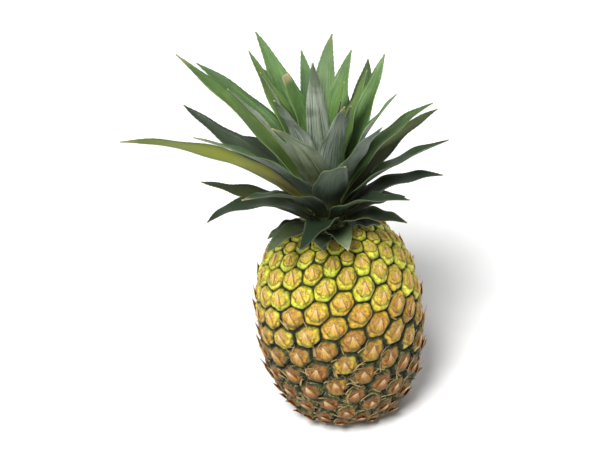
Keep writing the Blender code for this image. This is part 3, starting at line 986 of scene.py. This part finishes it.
def bract_source(s):
    """Points on the eyes, with the turn and the size of the scale or sliver that grows there."""
    outline = Outline(s)
    spots = []
    columns = {"size": [], "tall": [], "tint": [], "sliver": [], "turn": [], "away": []}

    def add(eye, azimuth, latitude, lift, turn, size, tall, sliver):
        out = outline.out(azimuth, latitude)
        side = Vector((-math.sin(azimuth), math.cos(azimuth), 0))
        axes = Matrix((side, out.cross(side), out)).transposed() @ Matrix.Rotation(turn, 3, "Z")
        spots.append(outline.place(azimuth, latitude) + out * lift)
        for key, value in (("size", size), ("tall", tall), ("tint", eye.tint), ("sliver", sliver)):
            columns[key].append(float(value))
        columns["turn"].append(tuple(axes.to_euler()))
        columns["away"].append(tuple(out))

    for eye in all_eyes(outline):
        if not eye.whole or eye.lift < BRACT_LEAST_LIFT or eye.height > BRACT_TOP:
            continue
        chance = random.Random(round(eye.latitude * 1e5))
        lowness = 1 - smooth_step(0.30, 0.85, eye.height / s.height)
        scale = 2 * eye.half_pitch / s.pitch
        turn = chance.uniform(-0.3, 0.3)
        size = scale * mix(0.86, 1.08, lowness) * chance.uniform(0.88, 1.1)
        tall = mix(0.3, 1.0, lowness) * chance.uniform(0.6, 1.3)
        lift = s.relief * (0.85 + 0.3 * eye.tint) * eye.lift
        add(eye, eye.azimuth, eye.latitude, lift, turn, size, tall, 0)
        step = eye.half_pitch / eye.radius
        for _ in range(round(mix(0.5, 5, lowness) * chance.uniform(0.7, 1.3))):
            way = chance.choice((-1, 1))
            azimuth = eye.azimuth + way * step * chance.uniform(0.5, 0.95)
            latitude = eye.latitude + step * chance.uniform(-0.85, 0.3)
            lean = -way * chance.uniform(0.1, 1.2)
            length = scale * chance.uniform(0.55, 1.1)
            depth = s.relief * chance.uniform(0.5, 0.7) * eye.lift
            add(eye, azimuth, latitude, depth, lean, length, tall, 1)
    mesh = bpy.data.meshes.new("bract_source")
    mesh.from_pydata(spots, [], [])
    fill_columns(mesh, columns)
    return mesh


def bract_tree():
    """Sets one keeled, pointed scale on each eye, and thin dry slivers beside them."""
    sizes = dict.fromkeys(("Length", "Width", "Curl", "Sliver Length", "Sliver Width"), "Float")
    g = Shape("bract_tips", {**sizes, "Material": "Material"})
    across, y, _ = g.xyz(g.add("GeometryNodeInputPosition").outputs[0])
    along = g.plus(y, 0.5)

    def sheet(columns, rows):
        grid = g.add("GeometryNodeMeshGrid", 2, 1, columns, rows).outputs[0]
        grid = g.store(grid, "blade", g.combine(across, along), "FLOAT2", "CORNER")
        return g.store(grid, "along", along)

    # The scale hugs the lower half of its eye, and its tip lifts off over the upper half.
    wide = g.less(1, g.math("POWER", along, 0.9))
    wide = g.times(wide, g.ramp(along, -0.02, 0.34, 0.22, 1))
    taper = g.math("MAXIMUM", g.plus(wide, g.ramp(along, 1.0, 0.4, 0.0, 0.06)), 0.02)
    half = g.times(g.given["Width"], 0.5, taper)
    keel = g.times(across, across, g.times(half, -KEEL))
    down = g.math("MAXIMUM", g.less(1, g.math("DIVIDE", along, HUG_SHARE)), 0)
    hug = g.times(down, down, -HUG_DIP)
    hug = g.plus(hug, g.times(g.math("POWER", down, 5.0), -FOOT_DIP))
    z = g.plus(keel, hug, BRACT_RISE)
    y_place = g.times(g.less(along, HUG_SHARE), g.given["Length"])
    scale = g.place(sheet(5, 6), position=g.combine(g.times(across, half), y_place, z))
    scale, _ = g.thicken(scale, BRACT_THICKNESS)

    # A sliver is narrow and bowed.
    thin = g.times(g.ramp(along, 1.05, 0.2), g.times(g.given["Sliver Width"], 0.5))
    bow = g.times(along, along, SLIVER_BOW)
    y_thin = g.times(g.less(along, 0.4), g.given["Sliver Length"])
    x_thin = g.plus(g.times(across, thin), bow)
    sliver = g.place(sheet(2, 6), position=g.combine(x_thin, y_thin, SLIVER_RISE))
    sliver, _ = g.thicken(sliver, SLIVER_THICKNESS)

    size, tall = g.attribute("size"), g.attribute("tall")
    is_sliver = g.math("GREATER_THAN", g.attribute("sliver"), 0.5)
    both = g.add("GeometryNodeJoinGeometry")
    for shape, chosen in ((scale, g.less(1, is_sliver)), (sliver, is_sliver)):
        named = {
            "Points": g.given["Geometry"],
            "Selection": chosen,
            "Instance": shape,
            "Rotation": g.attribute("turn", "FLOAT_VECTOR"),
            "Scale": g.combine(size, size, size),
        }
        placed = g.add("GeometryNodeInstanceOnPoints", named=named).outputs[0]
        g.tree.links.new(placed, both.inputs[0])
    tips = g.add("GeometryNodeRealizeInstances", both.outputs[0]).outputs[0]
    spot = g.add("GeometryNodeInputPosition").outputs[0]
    wild = g.wander(spot, 110.0, 2.0)
    far = g.attribute("along")
    wild = g.vector("SCALE", wild, g.times(far, TIP_STRAY))
    curl = g.times(g.given["Curl"], g.math("POWER", far, 3.0))
    rise = g.times(g.times(g.given["Length"], curl), g.times(size, tall))
    away = g.vector("SCALE", g.attribute("away", "FLOAT_VECTOR"), rise)
    tips = g.place(tips, offset=g.vector("ADD", wild, away))
    return g.finish(tips, g.math("GREATER_THAN", g.attribute("rim"), 0.5))


def cut_stalk_mesh():
    """A round, slightly torn cut face with a worn edge, closed above inside the hollow."""
    radius = (STALK_HIGH.x - STALK_LOW.x) / 2
    top = STALK_HIGH.z
    rings, sides = 22, 96
    chance = random.Random(5)
    rough = [[chance.uniform(0, 1) for _ in range(sides)] for _ in range(rings)]
    bm = bmesh.new()
    middle = bm.verts.new((0, 0, STALK_MIDDLE))
    rows = []
    for ring in range(1, rings + 1):
        portion = ring / rings
        row = []
        for side in range(sides):
            turn = 2 * math.pi * side / sides
            fibre = STALK_FIBRE * rough[ring - 1][side] * (portion < 0.9)
            hollow = STALK_HOLLOW * (1 - portion) + fibre
            edge = STALK_WEAR * max(0, portion - 0.88) / 0.12
            reach = radius * portion * (1 - 0.03 * rough[3][(side * 3) % sides] * portion**8)
            spot = (reach * math.cos(turn), reach * math.sin(turn), hollow + edge)
            row.append(bm.verts.new(spot))
        rows.append(row)
    rows.append([bm.verts.new((v.co.x, v.co.y, top)) for v in rows[-1]])
    last = bm.verts.new((0, 0, top))
    for i in range(sides):
        j = (i + 1) % sides
        bm.faces.new((middle, rows[0][j], rows[0][i]))
        for low, high in zip(rows, rows[1:]):
            bm.faces.new((low[i], low[j], high[j], high[i]))
        bm.faces.new((rows[-1][i], rows[-1][j], last))
    bmesh.ops.recalc_face_normals(bm, faces=bm.faces)
    mesh = bpy.data.meshes.new("cut_stalk_face")
    bm.to_mesh(mesh)
    bm.free()
    mesh.shade_smooth()
    return mesh


# The crown


class LeafForm:
    """One leaf's sizes and lean, from its rank: 0 at the foot of the crown, 1 at its heart."""

    # Leaves unlike their neighbours: shares of length and width, and extra lean in degrees
    ODD = {24: (1.2, 1.0, 3), 32: (1.12, 1.0, 0), 47: (1.42, 1.12, 1.8)}
    CUT = 48
    # Lean from upright and bend along the blade, of the lowest leaf and of the last one, in degrees
    LEANS, BENDS = (88, 10), (26, 5)

    def __init__(self, c, number):
        self.c = c
        self.rank = number / (c.count - 1)
        self.azimuth = c.first_azimuth - number * GOLDEN_ANGLE
        chance = random.Random(c.seed + number)
        rise = c.stem_height - c.first_height - c.last_margin
        self.foot_height = c.first_height + rise * self.rank**1.15
        grown = smooth_step(-0.1, 0.5, self.rank)
        young = smooth_step(0.6, 1.2, self.rank)
        self.length = c.longest * mix(0.12, 1, grown) * mix(1, 0.5, young)
        self.length *= 1 + c.long_share * math.cos(self.azimuth - c.long_side)
        self.length *= chance.uniform(0.97, 1.03)
        self.half_width = c.widest * mix(0.62, 1, grown) * mix(1, 0.5, young)
        length_share, width_share, extra_lean = self.ODD.get(number, (1, 1, 0))
        self.left = c.cut_left if number == self.CUT else 1
        self.length *= length_share
        self.half_width *= width_share
        lean = mix(*self.LEANS, self.rank) + extra_lean
        bend = mix(*self.BENDS, self.rank)
        self.foot_lean = math.radians(lean - bend)
        self.tip_lean = math.radians(lean + bend + chance.uniform(-4, 4))
        self.sway = chance.uniform(-0.05, 0.05)

    def stem_radius(self):
        c = self.c
        return mix(c.stem_foot, c.stem_top, self.foot_height / c.stem_height)

    def half_width_at(self, portion):
        foot = min(self.half_width * 0.62, self.stem_radius() * mix(0.65, 0.5, self.rank))
        body = mix(foot, self.half_width, smooth_step(0, 0.3, portion))
        return max(self.c.tip_half, body * (1 - (portion * self.left) ** 2.1) ** 0.9)

    def rail(self):
        """The midrib as a chain of points, each with what the blade's tree reads."""
        c = self.c
        radius = self.stem_radius() + SEAT_GAP
        height = STEM_LOW.z + self.foot_height
        fine = 4
        step = self.length / (fine * c.rows)
        spots = []
        columns = {"half": [], "channel": [], "thick": [], "side": [], "inner": []}
        for i in range(fine * c.rows + 1):
            portion = i / (fine * c.rows)
            lean = mix(self.foot_lean, self.tip_lean, portion**0.9)
            if i % fine == 0:
                half = self.half_width_at(portion)
                wrapped = half * math.cos(lean) / (2 * radius)
                open_channel = max(c.channel * smooth_step(0, 0.3, portion), wrapped)
                azimuth = self.azimuth + self.sway * portion * portion * 4
                out = Vector((math.cos(azimuth), math.sin(azimuth), 0))
                spots.append(out * radius + Vector((0, 0, height)))
                columns["half"].append(half)
                columns["channel"].append(min(c.most_channel, open_channel))
                columns["thick"].append(c.thickness * mix(1, 0.45, portion))
                columns["side"].append(Vector((-math.sin(azimuth), math.cos(azimuth), 0)))
                columns["inner"].append(Vector((0, 0, math.sin(lean))) - out * math.cos(lean))
            radius += math.sin(lean) * step
            height += math.cos(lean) * step
        mesh = bpy.data.meshes.new("midrib")
        mesh.from_pydata(spots, [(i, i + 1) for i in range(len(spots) - 1)], [])
        fill_columns(mesh, columns)
        return mesh


def leaf_tree():
    """A channelled blade along a midrib, with waving edges, small teeth and a thick foot."""
    numbers = ("Wave", "Tooth", "Phase", "Rank", "Tint", "Yellow", "Dry")
    counts = {"Rows": "Int", "Spans": "Int"}
    g = Shape("leaf_blade", {**counts, **dict.fromkeys(numbers, "Float"), "Material": "Material"})
    rail = g.given["Geometry"]
    rows, spans = g.given["Rows"], g.given["Spans"]
    more = g.plus(rows, 1)
    grid = g.add("GeometryNodeMeshGrid", 2, 1, g.plus(spans, 1), more).outputs[0]
    position = g.add("GeometryNodeInputPosition").outputs[0]
    across, y, _ = g.xyz(position)
    along = g.plus(y, 0.5)
    row = g.math("ROUND", g.times(along, rows))

    def sample(value, kind="FLOAT"):
        named = {"Geometry": rail, "Value": value, "Index": row}
        return g.add("GeometryNodeSampleIndex", data_type=kind, named=named).outputs[0]

    def read(name, kind="FLOAT"):
        return sample(g.attribute(name, kind), kind)

    side = g.math("ABSOLUTE", across)
    grid = g.store(grid, "blade", g.combine(across, along), "FLOAT2", "CORNER")
    thin = g.math("MULTIPLY_ADD", side, -0.55, 1)
    grid = g.store(grid, "thick", g.times(read("thick"), thin))
    for name in ("Rank", "Tint", "Yellow", "Dry"):
        grid = g.store(grid, name.lower(), g.given[name])
    saw = g.math("FRACT", g.math("DIVIDE", g.times(along, rows), 3))
    at_edge = g.math("GREATER_THAN", side, 0.99)
    near_tip = g.times(g.ramp(along, 0.45, 0.7), g.ramp(along, 1.0, 0.95))
    tooth = g.times(g.times(saw, at_edge), g.times(g.given["Tooth"], near_tip))
    half = read("half")
    reach = g.times(across, g.plus(half, tooth))
    slant = g.math("MULTIPLY_ADD", across, 0.9, g.given["Phase"])
    swing = g.math("MULTIPLY_ADD", along, 17.0, slant)
    body = g.times(g.ramp(along, 0.15, 0.45), g.ramp(along, 1.0, 0.7))
    wave = g.times(g.math("SINE", swing), g.times(g.given["Wave"], body))
    wave = g.times(wave, g.times(across, across))
    bow = g.times(g.times(half, read("channel")), g.times(across, across))
    lift = g.plus(bow, wave)
    spot = sample(position, "FLOAT_VECTOR")
    for name, distance in (("side", reach), ("inner", lift)):
        spot = g.vector("ADD", spot, g.vector("SCALE", read(name, "FLOAT_VECTOR"), distance))
    blade = g.place(grid, position=spot)
    shell, flat = g.thicken(blade, g.attribute("thick"))
    return g.finish(shell, flat)


# Operators and panel


class PINEAPPLE_OT_fruit(bpy.types.Operator):
    """Makes the fruit's skin, with every eye raised on it"""

    bl_idname = "pineapple.fruit"
    bl_label = "Fruit"

    def execute(self, context):
        s = context.scene.pineapple_fruit
        values = tree_inputs(s, "levels relief shoulder scar rim grain", Material=skin_material(s))
        piece = grow("fruit_skin", SkinSource(s).finish(), skin_tree(), values)
        join_root(piece, "fruit_skin", "fruit")
        return {"FINISHED"}


class PINEAPPLE_OT_bracts(bpy.types.Operator):
    """Sets a dry bract on each eye, with thin dry slivers round it"""

    bl_idname = "pineapple.bracts"
    bl_label = "Dry bract tips"

    def execute(self, context):
        s = context.scene.pineapple_fruit
        values = {
            "Length": s.bract_length,
            "Width": s.bract_width,
            "Curl": s.bract_curl,
            "Sliver Length": s.sliver_length,
            "Sliver Width": s.sliver_width,
            "Material": bract_material(s),
        }
        join_root(grow("dry_bracts", bract_source(s), bract_tree(), values), "fruit_skin")
        return {"FINISHED"}


class PINEAPPLE_OT_stalk(bpy.types.Operator):
    """Makes the cut end of the stalk in the hollow of the base"""

    bl_idname = "pineapple.stalk"
    bl_label = "Cut stalk"

    def execute(self, context):
        mesh = cut_stalk_mesh()
        mesh.materials.append(stalk_material(context.scene.pineapple_fruit))
        join_root(add_object("cut_stalk_face", mesh), "cut_stalk", "cut_stalk")
        return {"FINISHED"}


class PINEAPPLE_OT_stem(bpy.types.Operator):
    """Gives the crown's stem its finish"""

    bl_idname = "pineapple.stem"
    bl_label = "Crown stem"

    def execute(self, context):
        stem = bpy.data.objects["crown_stem"]
        stem.data.materials.clear()
        stem.data.materials.append(stem_material())
        return {"FINISHED"}


class PINEAPPLE_OT_leaves(bpy.types.Operator):
    """Makes every leaf of the crown"""

    bl_idname = "pineapple.leaves"
    bl_label = "Leaves"

    # How yellow and how dry a leaf is, where that isn't left to chance, by number
    AGED = {24: (0.75, 0.4), 48: (0.0, 1.0), 47: (0.0, 0.0)}

    def execute(self, context):
        c = context.scene.pineapple_crown
        tree, finish = leaf_tree(), leaf_material(c)
        for number in range(c.count):
            form = LeafForm(c, number)
            chance = random.Random(100 + number)
            phase, tint = chance.uniform(0, 6.3), chance.random()
            chosen = (max(0, chance.uniform(-0.6, 0.2)), max(0, chance.uniform(-2, 0.8)))
            yellow, dry = self.AGED.get(number, chosen)
            own = {"Phase": phase, "Rank": form.rank, "Tint": tint, "Yellow": yellow, "Dry": dry}
            values = tree_inputs(c, "rows spans wave tooth", **own, Material=finish)
            name = f"leaf_{number + 1:02d}"
            join_root(grow("blade_" + name[-2:], form.rail(), tree, values), "leaf", name)
        return {"FINISHED"}


class PINEAPPLE_OT_stage(bpy.types.Operator):
    """Lays the floor, sets the lights and places the camera"""

    bl_idname = "pineapple.stage"
    bl_label = "Stage"

    # Name, size, power, distance, azimuth and elevation of each soft light
    LIGHTS = (
        ("fill", 1.6, 7, 2.4, 250, 25),
        ("back", 1.4, 9, 2.4, 35, 50),
    )

    def execute(self, context):
        s = context.scene.pineapple_stage
        half = s.floor_size / 2
        square = ((-half, -half), (half, -half), (half, half), (-half, half))
        corners = [(x, y, -FLOOR_DROP) for x, y in square]
        mesh = bpy.data.meshes.new("floor")
        mesh.from_pydata(corners, [], [(0, 1, 2, 3)])
        mesh.materials.append(floor_material(s.floor))
        add_object("floor", mesh)
        middle = Vector((0, 0, (CAD_BOX[0][2] + CAD_BOX[1][2]) / 2))
        for name, size, power, distance, azimuth, elevation in self.LIGHTS:
            light = bpy.data.lights.new(name, "AREA")
            light.shape = "DISK"
            light.size = size
            light.energy = power
            lamp = add_object(name, light)
            turn, up = math.radians(azimuth), math.radians(elevation)
            flat = math.cos(up)
            way = Vector((math.sin(turn) * flat, math.cos(turn) * flat, math.sin(up)))
            lamp.location = middle + way * distance
            lamp.rotation_euler = (-way).to_track_quat("-Z", "Y").to_euler()
        key = bpy.data.lights.new("key", "SUN")
        key.energy = s.key
        key.angle = s.key_softness
        lamp = add_object("key", key)
        lamp.rotation_euler = (math.radians(90) - s.key_elevation, 0, s.key_azimuth)
        world = bpy.data.worlds.new("studio")
        world.use_nodes = True
        g = Graph(world.node_tree)
        background = g.nodes["Background"]
        seen = g.add("ShaderNodeLightPath").outputs["Is Camera Ray"]
        g.feed(background.inputs["Color"], (1, 1, 1, 1))
        g.feed(background.inputs["Strength"], g.ramp(seen, 0, 1, s.sky, 1))
        context.scene.world = world
        camera = bpy.data.cameras.new("camera")
        camera.lens = s.lens
        camera.sensor_width = 36
        eye = add_object("camera", camera)
        way = Vector((0, -math.cos(s.elevation), math.sin(s.elevation)))
        eye.location = Vector(s.target) + way * s.distance
        turn = (-way).to_track_quat("-Z", "Y") @ Quaternion((0, 0, 1), -s.roll)
        eye.rotation_euler = turn.to_euler()
        context.scene.camera = eye
        context.scene.view_settings.view_transform = "Standard"
        return {"FINISHED"}


class PINEAPPLE_PT_panel(bpy.types.Panel):
    """Lists the pieces and their settings"""

    bl_label = "Pineapple"
    bl_idname = "PINEAPPLE_PT_panel"
    bl_space_type = "VIEW_3D"
    bl_region_type = "UI"
    bl_category = "Pineapple"

    def draw(self, context):
        layout = self.layout
        for operator in OPERATORS:
            layout.operator(operator.bl_idname)
        for group, name in SETTINGS:
            box = layout.box()
            for key in group.__annotations__:
                box.prop(getattr(context.scene, name), key)


OPERATORS = (
    PINEAPPLE_OT_fruit,
    PINEAPPLE_OT_bracts,
    PINEAPPLE_OT_stalk,
    PINEAPPLE_OT_stem,
    PINEAPPLE_OT_leaves,
    PINEAPPLE_OT_stage,
)
SETTINGS = (
    (FruitSettings, "pineapple_fruit"),
    (CrownSettings, "pineapple_crown"),
    (StageSettings, "pineapple_stage"),
)


def register():
    for group, name in SETTINGS:
        bpy.utils.register_class(group)
        setattr(bpy.types.Scene, name, PointerProperty(type=group))
    for item in (*OPERATORS, PINEAPPLE_PT_panel):
        bpy.utils.register_class(item)


def unregister():
    for item in (PINEAPPLE_PT_panel, *reversed(OPERATORS)):
        bpy.utils.unregister_class(item)
    for group, name in reversed(SETTINGS):
        delattr(bpy.types.Scene, name)
        bpy.utils.unregister_class(group)


def main():
    register()
    for operator in OPERATORS:
        group, _, name = operator.bl_idname.partition(".")
        getattr(getattr(bpy.ops, group), name)()


if __name__ == "__main__":
    main()
